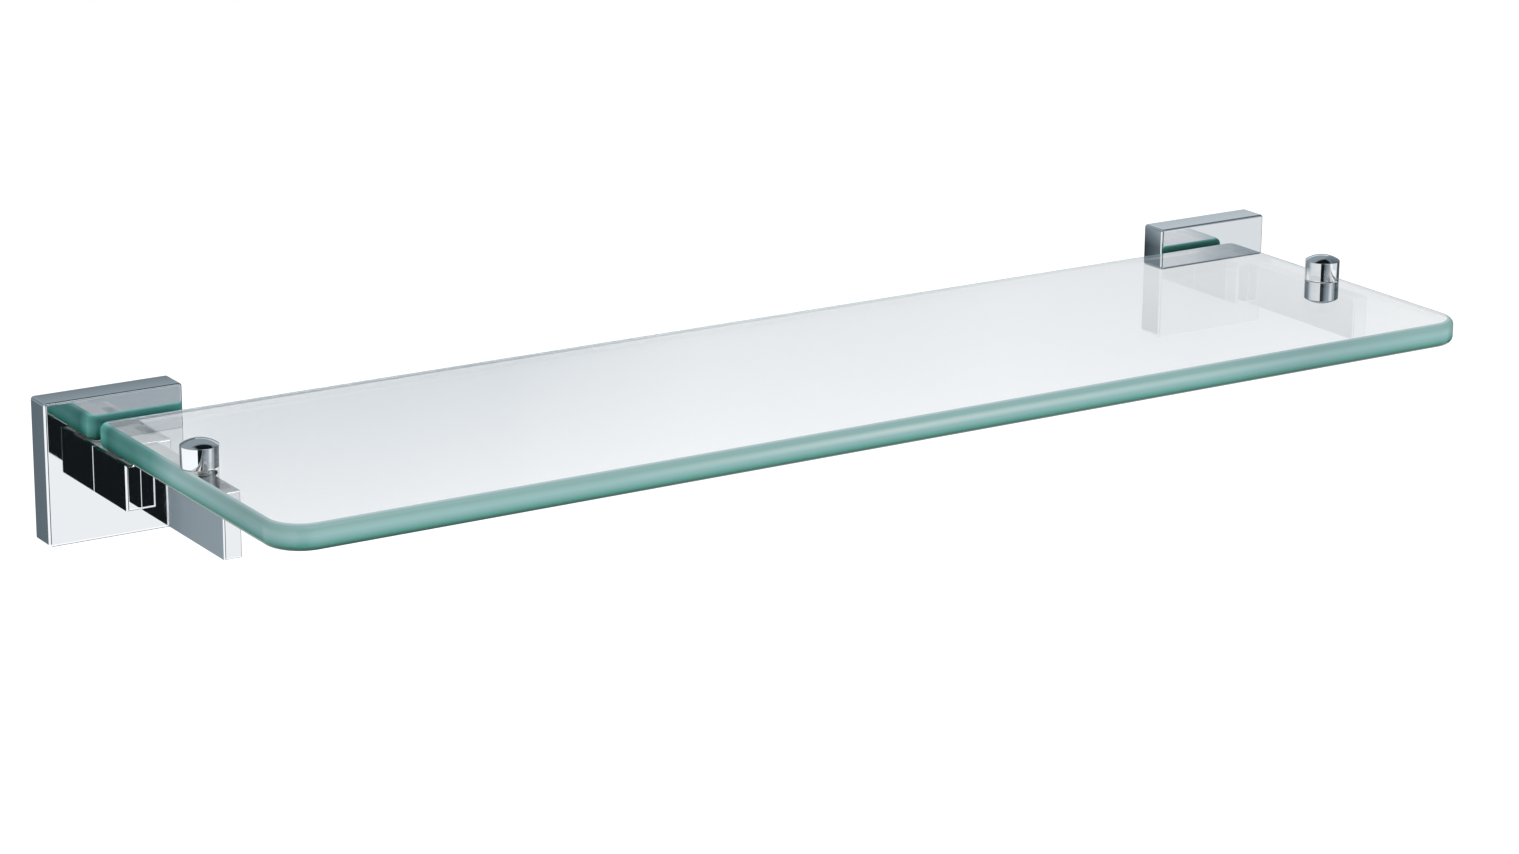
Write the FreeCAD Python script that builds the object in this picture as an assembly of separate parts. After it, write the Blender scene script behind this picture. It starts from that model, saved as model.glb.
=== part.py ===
import FreeCAD, Part
import math
import os

from FreeCAD import Vector

# Wall shelf: a glass board held by two square-rosette brackets, each clamped by a domed cap nut.
# Millimetres. +X runs along the wall to the right, +Y into the wall, +Z up.
# The origin lies on the wall plane, at the centre of the four wall screw holes.

# ---- driving dimensions -------------------------------------------------------------------

BRACKET_SPACING = 484.0         # centre to centre of the two brackets
FLANGE_SIDE = 52.0              # square rosette, outer side
FLANGE_DEPTH = 11.5             # rosette, wall to front face
FLANGE_WALL = 2.0
FLANGE_FRONT_WALL = 2.5
FLANGE_EDGE_ROUND = 1.0
FLANGE_CORNER_ROUND = 1.2

BLOCK_WIDTH = 17.4              # post block between rosette and arm
BLOCK_REACH = 27.5              # rosette front face to block front face
BLOCK_EDGE_ROUND = 0.9
BLOCK_POCKET = 0.8              # how far the block sits into the rosette's front wall

ARM_WIDTH = 6.5
ARM_HEIGHT = 16.4               # arm and block share this height
ARM_REACH = 92.5                # rosette front face to arm tip
ARM_EDGE_ROUND = 0.7
ARM_TENON = 4.0                 # how far the arm's rear end sits in the block's slot

GLASS_LENGTH = 500.0
GLASS_DEPTH = 143.0
GLASS_THICKNESS = 9.2
GLASS_WALL_GAP = 14.0           # wall plane to the glass's rear edge
GLASS_EDGE_ROUND = 2.4          # polished pencil edge
GLASS_FRONT_CORNER = 14.0
GLASS_REAR_CORNER = 4.0
GLASS_HOLE_RADIUS = 3.5
GLASS_HOLE_CHAMFER = 0.4
FILM = 0.3                      # clear film pads and washers between metal and glass

PIN_REACH = 80.0                # wall plane to the axis of stud, sleeve and cap
CAP_RADIUS = 6.7
CAP_SIDE_HEIGHT = 7.6           # glass top to the start of the dome
CAP_DOME_HEIGHT = 2.1
CAP_RIM_ROUND = 0.35
CAP_RIM_GAP = 0.15              # the rim stands this far off the glass, on its washer
CAP_BORE_TOP = 6.9              # glass top to the end of the cap's thread
CAP_WASHER_RADIUS = 5.8
CAP_WASHER_THICKNESS = 0.5
CAP_WASHER_ROOM = 0.05          # between the washer and the wall of its recess

M4_RADIUS = 2.0                 # threads are plain rods at their nominal size
M4_TAPPED_RADIUS = 2.05
M4_CLEARANCE_RADIUS = 2.15
STUD_DEPTH_IN_ARM = 10.0
STUD_TOP = 6.4                  # glass top to the stud's end
STUD_CHAMFER = 0.4
SLEEVE_RADIUS = 3.45
SLEEVE_BORE_RADIUS = 2.1
SLEEVE_SHORT_OF_TOP = 0.15

TIE_SCREW_LENGTH = 35.0
TIE_HEAD_RADIUS = 3.5
TIE_HEAD_HEIGHT = 4.0
TIE_HEAD_ROUND = 0.4
TIE_SOCKET = (3.0, 2.0)         # hex key sockets: across flats, depth
SMALL_SOCKET = (2.0, 1.8)
LOCK_WASHER_RADIUS = 3.7
LOCK_WASHER_THICKNESS = 0.9
LOCK_WASHER_SPLIT = 0.7
LOCK_WASHER_SLANT = 25.0        # degrees

PLATE_WIDTH = 44.0              # wall plate inside the rosette
PLATE_THICKNESS = 2.5
PLATE_LIP = 2.0
PLATE_LIP_REACH = 8.5           # wall plane to the lips' front ends
PLATE_BOTTOM_GAP = 1.5          # lower lip to the rosette's lower wall
PLATE_BEND_ROUND = 1.2
SCREW_PITCH = 28.0              # between the two wall screw holes of one plate
SCREW_HOLE_RADIUS = 2.3

SET_SCREW_REACH = 5.0           # wall plane to the set screw's axis
SET_SCREW_LENGTH = 4.0
SET_SCREW_INSET = 0.1           # its socket end lies this far inside the rosette
SET_SCREW_CONE = 0.8
SET_BOSS_WIDTH = 10.0
SET_BOSS_DEPTH = 6.5
SET_BOSS_HEIGHT = 1.2
DIMPLE_RADIUS = 1.9
DIMPLE_DEPTH = 0.6

PAD_WIDTH = 4.5
PAD_LENGTH = 12.0
PAD_CORNER_ROUND = 2.05
PAD_FROM_TIP = 4.0              # the front pad's end to the arm's tip

# ---- places worked out from them ----------------------------------------------------------

FLANGE_HALF = FLANGE_SIDE / 2
FLANGE_FRONT = -FLANGE_DEPTH
HOLLOW_HALF = FLANGE_HALF - FLANGE_WALL
HOLLOW_FRONT = FLANGE_FRONT + FLANGE_FRONT_WALL
BLOCK_REAR = FLANGE_FRONT + BLOCK_POCKET
BLOCK_FRONT = FLANGE_FRONT - BLOCK_REACH
ARM_REAR = BLOCK_FRONT + ARM_TENON
ARM_TIP = FLANGE_FRONT - ARM_REACH
ARM_TOP = ARM_HEIGHT / 2
GLASS_BOTTOM = ARM_TOP + FILM
GLASS_TOP = GLASS_BOTTOM + GLASS_THICKNESS
GLASS_REAR = -GLASS_WALL_GAP
GLASS_FRONT = GLASS_REAR - GLASS_DEPTH
PIN_Y = -PIN_REACH
SIDES = {"left": -1, "right": 1}

ALONG_X = Vector(1, 0, 0)
ALONG_Y = Vector(0, 1, 0)
OUTWARD = Vector(0, -1, 0)
UP = Vector(0, 0, 1)
CLEAR = 1.0                     # how far a cutting tool runs past the face it opens


# ---- shaping helpers ----------------------------------------------------------------------

def block(x_range, y_range, z_range):
    """A box between two limits on each axis."""
    low = Vector(x_range[0], y_range[0], z_range[0])
    high = Vector(x_range[1], y_range[1], z_range[1])
    size = high - low
    return Part.makeBox(size.x, size.y, size.z, low)


def about(centre, half):
    """The two limits that lie half each side of a centre."""
    return centre - half, centre + half


def rod(radius, length, start, direction):
    """A cylinder from a start point along a direction."""
    return Part.makeCylinder(radius, length, start, direction)


def ring(outer, inner, thickness, start, direction):
    """A flat washer whose lower face is centred on a start point."""
    hole_start = start - direction * CLEAR
    hole = rod(inner, thickness + 2 * CLEAR, hole_start, direction)
    return rod(outer, thickness, start, direction).cut(hole)


def hex_socket(size, start, direction):
    """A six-sided prism, the room for a hex key, from a start point along a direction."""
    across_flats, depth = size
    corner_radius = across_flats / math.sqrt(3)
    side_a = direction.cross(ALONG_X)
    if side_a.Length < 0.5:
        side_a = direction.cross(UP)
    side_a.normalize()
    side_b = direction.cross(side_a)
    corners = []
    for step in range(7):
        turn = math.radians(60 * step)
        corner = side_a * (corner_radius * math.cos(turn)) + side_b * (corner_radius * math.sin(turn))
        corners.append(start + corner)
    return Part.Face(Part.makePolygon(corners)).extrude(direction * depth)


def runs_along(edge, axis):
    """True for a straight edge parallel to an axis."""
    if not isinstance(edge.Curve, Part.Line):
        return False
    return abs(edge.tangentAt(edge.FirstParameter).dot(axis)) > 0.999


def lies_at(edge, axis, place):
    """True for an edge that lies wholly in the plane at that place on an axis."""
    return all(abs(vertex.Point.dot(axis) - place) < 1e-6 for vertex in edge.Vertexes)


def rounded(shape, radius, chosen):
    """The shape with a fillet on every edge for which chosen(edge) is true."""
    edges = [edge for edge in shape.Edges if chosen(edge)]
    return shape.makeFillet(radius, edges)


# ---- the pieces of one bracket, each for a centre x ---------------------------------------

def make_wall_plate(x):
    """Bent steel plate on the wall: two screw holes, and a lip above and below."""
    top = HOLLOW_HALF
    bottom = -HOLLOW_HALF + PLATE_BOTTOM_GAP
    outside = block(about(x, PLATE_WIDTH / 2), (-PLATE_LIP_REACH, 0), (bottom, top))
    outside = rounded(
        outside, PLATE_BEND_ROUND, lambda e: runs_along(e, ALONG_X) and lies_at(e, ALONG_Y, 0)
    )
    inside = block(
        about(x, PLATE_WIDTH / 2 + CLEAR),
        (-PLATE_LIP_REACH - CLEAR, -PLATE_THICKNESS),
        (bottom + PLATE_LIP, top - PLATE_LIP),
    )
    plate = outside.cut(inside)
    for height in (-SCREW_PITCH / 2, SCREW_PITCH / 2):
        hole_start = Vector(x, CLEAR, height)
        plate = plate.cut(rod(SCREW_HOLE_RADIUS, PLATE_THICKNESS + 2 * CLEAR, hole_start, OUTWARD))
    dimple = Part.makeCone(DIMPLE_RADIUS, DIMPLE_RADIUS - DIMPLE_DEPTH, DIMPLE_DEPTH,
                           Vector(x, -SET_SCREW_REACH, bottom), UP)
    return plate.cut(dimple)


def make_flange(x):
    """Hollow square rosette: open to the wall, pocketed in front for the block."""
    shell = block(about(x, FLANGE_HALF), (FLANGE_FRONT, 0), about(0, FLANGE_HALF))
    shell = rounded(shell, FLANGE_CORNER_ROUND, lambda e: runs_along(e, ALONG_Y))
    shell = rounded(shell, FLANGE_EDGE_ROUND, lambda e: lies_at(e, ALONG_Y, FLANGE_FRONT))
    hollow = block(about(x, HOLLOW_HALF), (HOLLOW_FRONT, CLEAR), about(0, HOLLOW_HALF))
    shell = shell.cut(hollow)
    pocket = block(about(x, BLOCK_WIDTH / 2), (FLANGE_FRONT - CLEAR, BLOCK_REAR), about(0, ARM_TOP))
    shell = shell.cut(pocket)
    shell = shell.cut(rod(M4_CLEARANCE_RADIUS, FLANGE_DEPTH, Vector(x, 0, 0), OUTWARD))
    boss = block(
        about(x, SET_BOSS_WIDTH / 2),
        about(-SET_SCREW_REACH, SET_BOSS_DEPTH / 2),
        (-HOLLOW_HALF - FLANGE_WALL / 2, -HOLLOW_HALF + SET_BOSS_HEIGHT),
    )
    shell = shell.fuse(boss).removeSplitter()
    tapped_start = Vector(x, -SET_SCREW_REACH, -FLANGE_HALF - CLEAR)
    return shell.cut(rod(M4_TAPPED_RADIUS, FLANGE_WALL + SET_BOSS_HEIGHT + 2 * CLEAR, tapped_start, UP))


def make_post_block(x):
    """Square post from the rosette: bored for the tie screw, slotted in front for the arm."""
    post = block(about(x, BLOCK_WIDTH / 2), (BLOCK_FRONT, BLOCK_REAR), about(0, ARM_TOP))
    post = rounded(post, BLOCK_EDGE_ROUND, lambda e: lies_at(e, ALONG_Y, BLOCK_FRONT))
    slot = block(about(x, ARM_WIDTH / 2), (BLOCK_FRONT - CLEAR, ARM_REAR), about(0, ARM_TOP + CLEAR))
    hole_start = Vector(x, BLOCK_REAR + CLEAR, 0)
    hole = rod(M4_CLEARANCE_RADIUS, BLOCK_REACH + 2 * CLEAR, hole_start, OUTWARD)
    return post.cut(slot).cut(hole)


def make_arm(x):
    """Flat bar that carries the glass: tapped behind for the tie screw and above for the stud."""
    bar = block(about(x, ARM_WIDTH / 2), (ARM_TIP, ARM_REAR), about(0, ARM_TOP))
    bar = rounded(bar, ARM_EDGE_ROUND, lambda e: lies_at(e, ALONG_Y, ARM_TIP))
    screw_end = tie_head_seat() - TIE_SCREW_LENGTH
    tie_hole_depth = ARM_REAR - screw_end + 2 * CLEAR
    bar = bar.cut(rod(M4_TAPPED_RADIUS, tie_hole_depth, Vector(x, ARM_REAR, 0), OUTWARD))
    stud_hole_start = Vector(x, PIN_Y, ARM_TOP - STUD_DEPTH_IN_ARM)
    return bar.cut(rod(M4_TAPPED_RADIUS, STUD_DEPTH_IN_ARM + CLEAR, stud_hole_start, UP))


def tie_head_seat():
    """Y of the plane where the tie screw's head sits on its lock washer."""
    return HOLLOW_FRONT + LOCK_WASHER_THICKNESS


def make_tie_screw(x):
    """Socket screw from inside the rosette through the block into the arm."""
    seat = Vector(x, tie_head_seat(), 0)
    shank = rod(M4_RADIUS, TIE_SCREW_LENGTH, seat, OUTWARD)
    head = rod(TIE_HEAD_RADIUS, TIE_HEAD_HEIGHT, seat, ALONG_Y)
    head = rounded(head, TIE_HEAD_ROUND, lambda e: lies_at(e, ALONG_Y, seat.y + TIE_HEAD_HEIGHT))
    socket = hex_socket(TIE_SOCKET, Vector(x, seat.y + TIE_HEAD_HEIGHT, 0), OUTWARD)
    return head.fuse(shank).removeSplitter().cut(socket)


def make_lock_washer(x):
    """Split spring washer under the tie screw's head."""
    face = Vector(x, HOLLOW_FRONT, 0)
    washer = ring(LOCK_WASHER_RADIUS, M4_CLEARANCE_RADIUS, LOCK_WASHER_THICKNESS, face, ALONG_Y)
    split = block(
        about(x, LOCK_WASHER_SPLIT / 2),
        (HOLLOW_FRONT - CLEAR, tie_head_seat() + CLEAR),
        (0, LOCK_WASHER_RADIUS + CLEAR),
    )
    split.rotate(Vector(x, HOLLOW_FRONT + LOCK_WASHER_THICKNESS / 2, 0), UP, LOCK_WASHER_SLANT)
    return washer.cut(split)


def make_set_screw(x):
    """Cone point grub screw, up through the rosette's lower wall against the plate's lip."""
    foot = Vector(x, -SET_SCREW_REACH, -FLANGE_HALF + SET_SCREW_INSET)
    body = rod(M4_RADIUS, SET_SCREW_LENGTH - SET_SCREW_CONE, foot, UP)
    point = Part.makeCone(M4_RADIUS, M4_RADIUS - SET_SCREW_CONE, SET_SCREW_CONE,
                          foot + UP * (SET_SCREW_LENGTH - SET_SCREW_CONE), UP)
    return body.fuse(point).removeSplitter().cut(hex_socket(SMALL_SOCKET, foot, UP))


def make_stud(x):
    """Threaded pin fixed in the arm, up through the glass into the cap."""
    foot = Vector(x, PIN_Y, ARM_TOP - STUD_DEPTH_IN_ARM)
    length = GLASS_TOP + STUD_TOP - foot.z
    pin = rod(M4_RADIUS, length, foot, UP)
    pin = pin.makeChamfer(STUD_CHAMFER, [e for e in pin.Edges if lies_at(e, UP, foot.z + length)])
    return pin.cut(hex_socket(SMALL_SOCKET, foot + UP * length, UP * -1))


def make_arm_washer(x):
    """Clear film washer between the arm and the glass, round the stud."""
    return ring(CAP_WASHER_RADIUS, SLEEVE_BORE_RADIUS, FILM, Vector(x, PIN_Y, ARM_TOP), UP)


def make_glass_sleeve(x):
    """Clear nylon bush that keeps the stud off the glass's bore."""
    height = GLASS_THICKNESS - SLEEVE_SHORT_OF_TOP
    return ring(SLEEVE_RADIUS, SLEEVE_BORE_RADIUS, height, Vector(x, PIN_Y, GLASS_BOTTOM), UP)


def make_cap_washer(x):
    """Clear soft washer held in the cap's underside."""
    foot = Vector(x, PIN_Y, GLASS_TOP)
    return ring(CAP_WASHER_RADIUS, SLEEVE_BORE_RADIUS, CAP_WASHER_THICKNESS, foot, UP)


def make_cap(x):
    """Round cap nut with a low dome, a blind thread and a recess for its washer."""
    rim = Vector(x, PIN_Y, GLASS_TOP + CAP_RIM_GAP)
    dome_base = GLASS_TOP + CAP_SIDE_HEIGHT
    side = rod(CAP_RADIUS, dome_base + CAP_DOME_HEIGHT - rim.z, rim, UP)
    dome_radius = (CAP_RADIUS ** 2 + CAP_DOME_HEIGHT ** 2) / (2 * CAP_DOME_HEIGHT)
    dome_centre = Vector(x, PIN_Y, dome_base + CAP_DOME_HEIGHT - dome_radius)
    cap = side.common(Part.makeSphere(dome_radius, dome_centre))
    cap = rounded(cap, CAP_RIM_ROUND, lambda e: lies_at(e, UP, dome_base) and e.Closed)
    recess_start = Vector(x, PIN_Y, GLASS_TOP - CLEAR)
    recess = rod(CAP_WASHER_RADIUS + CAP_WASHER_ROOM, CAP_WASHER_THICKNESS + CLEAR, recess_start, UP)
    thread = rod(M4_TAPPED_RADIUS, CAP_BORE_TOP, Vector(x, PIN_Y, GLASS_TOP), UP)
    return cap.cut(recess).cut(thread)


def make_rest_pads(x):
    """Three clear film pads under the glass: two on the block and one at the arm's tip."""
    block_middle = (BLOCK_REAR + BLOCK_FRONT) / 2
    side_step = (BLOCK_WIDTH - PAD_WIDTH) / 2 - BLOCK_EDGE_ROUND
    tip_middle = ARM_TIP + PAD_FROM_TIP + PAD_LENGTH / 2
    places = [(x - side_step, block_middle), (x + side_step, block_middle), (x, tip_middle)]
    pads = []
    for pad_x, pad_y in places:
        pad = block(about(pad_x, PAD_WIDTH / 2), about(pad_y, PAD_LENGTH / 2), (ARM_TOP, GLASS_BOTTOM))
        pads.append(rounded(pad, PAD_CORNER_ROUND, lambda e: runs_along(e, UP)))
    return Part.makeCompound(pads)


BRACKET_PIECES = {
    "wall_plate": make_wall_plate,
    "flange": make_flange,
    "post_block": make_post_block,
    "arm": make_arm,
    "tie_screw": make_tie_screw,
    "lock_washer": make_lock_washer,
    "set_screw": make_set_screw,
    "stud": make_stud,
    "arm_washer": make_arm_washer,
    "glass_sleeve": make_glass_sleeve,
    "cap_washer": make_cap_washer,
    "cap": make_cap,
    "rest_pads": make_rest_pads,
}


# ---- the glass board ----------------------------------------------------------------------

def make_glass_shelf(bracket_centres):
    """Glass board with rounded corners, a pencil edge all round and a bore at each stud."""
    board = block(about(0, GLASS_LENGTH / 2), (GLASS_FRONT, GLASS_REAR), (GLASS_BOTTOM, GLASS_TOP))
    for y, radius in ((GLASS_FRONT, GLASS_FRONT_CORNER), (GLASS_REAR, GLASS_REAR_CORNER)):
        board = rounded(board, radius, lambda e: runs_along(e, UP) and lies_at(e, ALONG_Y, y))
    for face in (GLASS_TOP, GLASS_BOTTOM):
        board = rounded(board, GLASS_EDGE_ROUND, lambda e: lies_at(e, UP, face))
    for x in bracket_centres:
        bore_start = Vector(x, PIN_Y, GLASS_BOTTOM - CLEAR)
        board = board.cut(rod(GLASS_HOLE_RADIUS, GLASS_THICKNESS + 2 * CLEAR, bore_start, UP))
        wide = GLASS_HOLE_RADIUS + GLASS_HOLE_CHAMFER
        for face, inward in ((GLASS_TOP, UP * -1), (GLASS_BOTTOM, UP)):
            mouth = Vector(x, PIN_Y, face)
            board = board.cut(Part.makeCone(wide, GLASS_HOLE_RADIUS, GLASS_HOLE_CHAMFER, mouth, inward))
    return board


def main():
    """Builds every piece and writes it as its own STEP file."""
    os.makedirs("parts", exist_ok=True)
    nodes = {}
    for side, sign in SIDES.items():
        for name, make in BRACKET_PIECES.items():
            nodes[f"{side}_{name}"] = make(sign * BRACKET_SPACING / 2)
    nodes["glass_shelf"] = make_glass_shelf([sign * BRACKET_SPACING / 2 for sign in SIDES.values()])
    for name, shape in nodes.items():
        shape.exportStep(f"parts/{name}.step")
        print(name, len(shape.Solids), round(shape.Volume, 1), shape.isValid())


main()
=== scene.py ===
import logging
import math
from dataclasses import dataclass, field
from enum import Enum, IntEnum
from typing import Sequence

import bmesh
import bpy
from bmesh.types import BMesh, BMFace, BMVert
from bpy.types import Material, Node, NodeSocket, NodeTree, Object
from mathutils import Matrix, Vector


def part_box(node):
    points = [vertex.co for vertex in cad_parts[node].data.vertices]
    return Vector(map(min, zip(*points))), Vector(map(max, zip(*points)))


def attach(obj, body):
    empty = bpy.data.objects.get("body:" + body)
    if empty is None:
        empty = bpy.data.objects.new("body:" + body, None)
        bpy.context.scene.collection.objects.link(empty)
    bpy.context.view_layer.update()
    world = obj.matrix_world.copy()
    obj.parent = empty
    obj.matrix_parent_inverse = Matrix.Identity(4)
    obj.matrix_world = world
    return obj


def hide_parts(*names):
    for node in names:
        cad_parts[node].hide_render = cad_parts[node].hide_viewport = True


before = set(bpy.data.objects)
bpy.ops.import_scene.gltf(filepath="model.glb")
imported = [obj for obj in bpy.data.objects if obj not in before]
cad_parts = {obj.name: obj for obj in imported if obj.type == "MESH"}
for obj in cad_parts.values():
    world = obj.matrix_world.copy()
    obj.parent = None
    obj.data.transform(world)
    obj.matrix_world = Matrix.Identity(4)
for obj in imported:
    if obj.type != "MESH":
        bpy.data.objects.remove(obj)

log = logging.getLogger("glass_shelf")

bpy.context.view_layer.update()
MM = 0.001
GLASS_INDEX = 1.52
ROOF_GREY = 0.36


class Side(Enum):
    """Which of the two brackets a piece belongs to."""

    LEFT = "left"
    RIGHT = "right"


# ---- node graphs ----

class Graph:
    """Short calls to fill the node tree of a material or of the world."""

    def __init__(self, tree: NodeTree) -> None:
        """Starts from an empty tree.

        Args:
            tree: the node tree to fill.
        """
        self.tree = tree
        tree.nodes.clear()

    def add(self, kind: str, values: dict[str, object] | None = None, **settings: object) -> Node:
        """Adds one node.

        Args:
            kind: the node's type name.
            values: what its input sockets hold, by socket name.
            settings: the node's own properties.

        Returns:
            The new node.
        """
        node = self.tree.nodes.new(kind)
        for name, value in settings.items():
            setattr(node, name, value)
        for name, value in (values or {}).items():
            node.inputs[name].default_value = value
        return node

    def join(self, source: object, target: NodeSocket) -> None:
        """Links an output socket to an input socket, or gives the input a plain value.

        Args:
            source: an output socket, or a plain value.
            target: the input socket that takes it.
        """
        if isinstance(source, NodeSocket):
            self.tree.links.new(source, target)
        else:
            target.default_value = source

    def ramp(self, source: NodeSocket, stops: Sequence[tuple[float, tuple]]) -> NodeSocket:
        """Adds a colour ramp.

        Args:
            source: the socket that drives it.
            stops: place and RGB colour of each stop, from low to high.

        Returns:
            The socket with the colour.
        """
        node = self.add("ShaderNodeValToRGB")
        elements = node.color_ramp.elements
        while len(elements) < len(stops):
            elements.new(0.5)
        for element, (place, color) in zip(elements, stops):
            element.position = place
            element.color = (*color, 1.0)
        self.join(source, node.inputs["Fac"])
        return node.outputs["Color"]

    def span(self, source: NodeSocket, low: float, high: float, to_low: float = 0.0,
             to_high: float = 1.0) -> NodeSocket:
        """Maps a value from one span to another and clamps it.

        Args:
            source: the socket with the value.
            low: start of the span it comes from.
            high: end of the span it comes from.
            to_low: what the start becomes.
            to_high: what the end becomes.

        Returns:
            The socket with the mapped value.
        """
        node = self.add("ShaderNodeMapRange", {
            "From Min": low, "From Max": high, "To Min": to_low, "To Max": to_high})
        self.join(source, node.inputs["Value"])
        return node.outputs["Result"]

    def math(self, operation: str, *values: object) -> NodeSocket:
        """Adds a math node.

        Args:
            operation: what the node does.
            values: its inputs in order, sockets or plain numbers.

        Returns:
            The socket with the result.
        """
        node = self.add("ShaderNodeMath", operation=operation)
        for value, target in zip(values, node.inputs):
            self.join(value, target)
        return node.outputs["Value"]

    def blend(self, share: NodeSocket, first: object, second: object) -> NodeSocket:
        """Blends two colours.

        Args:
            share: how much of the second shows, from 0 to 1.
            first: a socket or an RGB colour.
            second: a socket or an RGB colour.

        Returns:
            The socket with the blended colour.
        """
        # the node has a set of sockets for each type of value; these are the ones for colours
        node = self.add("ShaderNodeMix", data_type="RGBA")
        self.join(share, node.inputs[0])
        for color, target in ((first, node.inputs[6]), (second, node.inputs[7])):
            self.join(color if isinstance(color, NodeSocket) else (*color, 1.0), target)
        return node.outputs[2]

    def placed(self, kind: str, values: dict[str, object] | None = None) -> Node:
        """Adds a node that reads where a point lies in its piece's own space.

        Args:
            kind: the node's type name.
            values: what its input sockets hold, by socket name.

        Returns:
            The new node.
        """
        node = self.add(kind, values)
        self.join(self.add("ShaderNodeTexCoord").outputs["Object"], node.inputs["Vector"])
        return node

    def relief(self, shader: Node, source: NodeSocket, strength: float, height: float) -> None:
        """Bends a shader's normal as if the surface rose and fell.

        Args:
            shader: the shader.
            source: the socket with the rise, from 0 to 1.
            strength: how much of it shows.
            height: its full height in metres.
        """
        bump = self.add("ShaderNodeBump", {"Strength": strength, "Distance": height})
        self.join(source, bump.inputs["Height"])
        self.join(bump.outputs["Normal"], shader.inputs["Normal"])

    def seen(self) -> NodeSocket:
        """1 for rays from the lens, off a mirror or through glass, 0 for rays that carry light.

        Returns:
            The socket with the 1 or 0.
        """
        path = self.add("ShaderNodeLightPath")
        direct = self.math("MAXIMUM", path.outputs["Is Camera Ray"], path.outputs["Is Glossy Ray"])
        return self.math("MAXIMUM", direct, path.outputs["Is Transmission Ray"])


def new_material(name: str, values: dict[str, object]) -> tuple[Material, Graph, Node]:
    """Makes a material with a Principled shader joined to its surface.

    Args:
        name: the material's name.
        values: what the shader's sockets hold, by socket name.

    Returns:
        The material, its graph and the shader node.
    """
    material = bpy.data.materials.new(name)
    material.use_nodes = True
    graph = Graph(material.node_tree)
    shader = graph.add("ShaderNodeBsdfPrincipled", values)
    output = graph.add("ShaderNodeOutputMaterial")
    graph.join(shader.outputs["BSDF"], output.inputs["Surface"])
    return material, graph, shader


def add_ripple(graph: Graph, shader: Node, scale: float, height: float, detail: float = 1.0) -> None:
    """Gives a shader a soft uneven surface from noise in the piece's own space.

    Args:
        graph: the material's graph.
        shader: the shader whose normal it bends.
        scale: noise cells per metre.
        height: height of the ripple in metres.
        detail: octaves of the noise.
    """
    noise = graph.placed("ShaderNodeTexNoise", {"Scale": scale, "Detail": detail})
    graph.relief(shader, noise.outputs["Fac"], 1.0, height)


# ---- finishes ----

@dataclass(frozen=True)
class MirrorChrome:
    """Polished chrome plate: a mirror with faint wipe marks and a barely wavy surface."""

    name: str = "mirror_chrome"
    tint: tuple = (0.80, 0.82, 0.84)
    roughness_low: float = 0.02
    roughness_high: float = 0.05
    mark_scale: float = 240.0
    mark_twist: float = 0.6
    ripple_scale: float = 70.0
    ripple_height: float = 0.01 * MM

    def material(self) -> Material:
        """Makes the material."""
        return self.start()[0]

    def start(self) -> tuple[Material, Graph, Node, NodeSocket]:
        """Makes the material and hands over what a finish built on it needs.

        Returns:
            The material, its graph, its shader and the socket with its roughness.
        """
        material, graph, shader = new_material(self.name, {"Base Color": (*self.tint, 1.0), "Metallic": 1.0})
        marks = graph.placed("ShaderNodeTexNoise", {
            "Scale": self.mark_scale, "Detail": 3.0, "Distortion": self.mark_twist})
        rough = graph.span(marks.outputs["Fac"], 0.35, 0.75, self.roughness_low, self.roughness_high)
        graph.join(rough, shader.inputs["Roughness"])
        add_ripple(graph, shader, self.ripple_scale, self.ripple_height)
        return material, graph, shader, rough


@dataclass(frozen=True)
class SeatChrome(MirrorChrome):
    """Chrome whose top, where the glass lies on it, is matt, with painted light and shade: pale near the wall, grey
    at the tip.
    """

    name: str = "seat_chrome"
    centre_x: float = 242.0 * MM
    seat_half: float = 7.2 * MM
    seat_rim: float = 0.3 * MM
    # painted light and shade of the seat: pale is painted light near the wall, grey is painted shade at the tip
    pale: tuple = (0.95, 0.97, 0.97)
    grey: tuple = (0.50, 0.53, 0.55)
    pale_y: float = -70.0 * MM
    grey_y: float = -86.0 * MM
    matt: float = 0.48

    def material(self) -> Material:
        """Makes the material.

        Returns:
            Chrome with a matt seat on top, painted pale near the wall and grey at the tip as light and shade.
        """
        material, graph, shader, polished = self.start()
        where, facing = graph.placed("ShaderNodeSeparateXYZ"), graph.add("ShaderNodeSeparateXYZ")
        graph.join(graph.add("ShaderNodeTexCoord").outputs["Normal"], facing.inputs["Vector"])
        upward = graph.span(facing.outputs["Z"], 0.90, 0.98)
        side = graph.math("ABSOLUTE", where.outputs["X"])
        inward = graph.math("ABSOLUTE", graph.math("SUBTRACT", side, self.centre_x))
        inside = graph.span(inward, self.seat_half - self.seat_rim, self.seat_half, 1.0, 0.0)
        seat = graph.math("MULTIPLY", upward, inside)
        # painted light and shade: the seat runs from painted grey shade at the tip to painted pale light near the
        # wall, where it stops being metal
        near_wall = graph.span(where.outputs["Y"], self.grey_y, self.pale_y)
        matt = graph.ramp(near_wall, [(0.0, self.grey), (1.0, self.pale)])
        graph.join(graph.blend(seat, self.tint, matt), shader.inputs["Base Color"])
        bare = graph.math("MULTIPLY", seat, near_wall)
        graph.join(graph.math("SUBTRACT", 1.0, bare), shader.inputs["Metallic"])
        satin = graph.math("MULTIPLY", seat, self.matt)
        graph.join(graph.math("ADD", polished, satin), shader.inputs["Roughness"])
        return material


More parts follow.
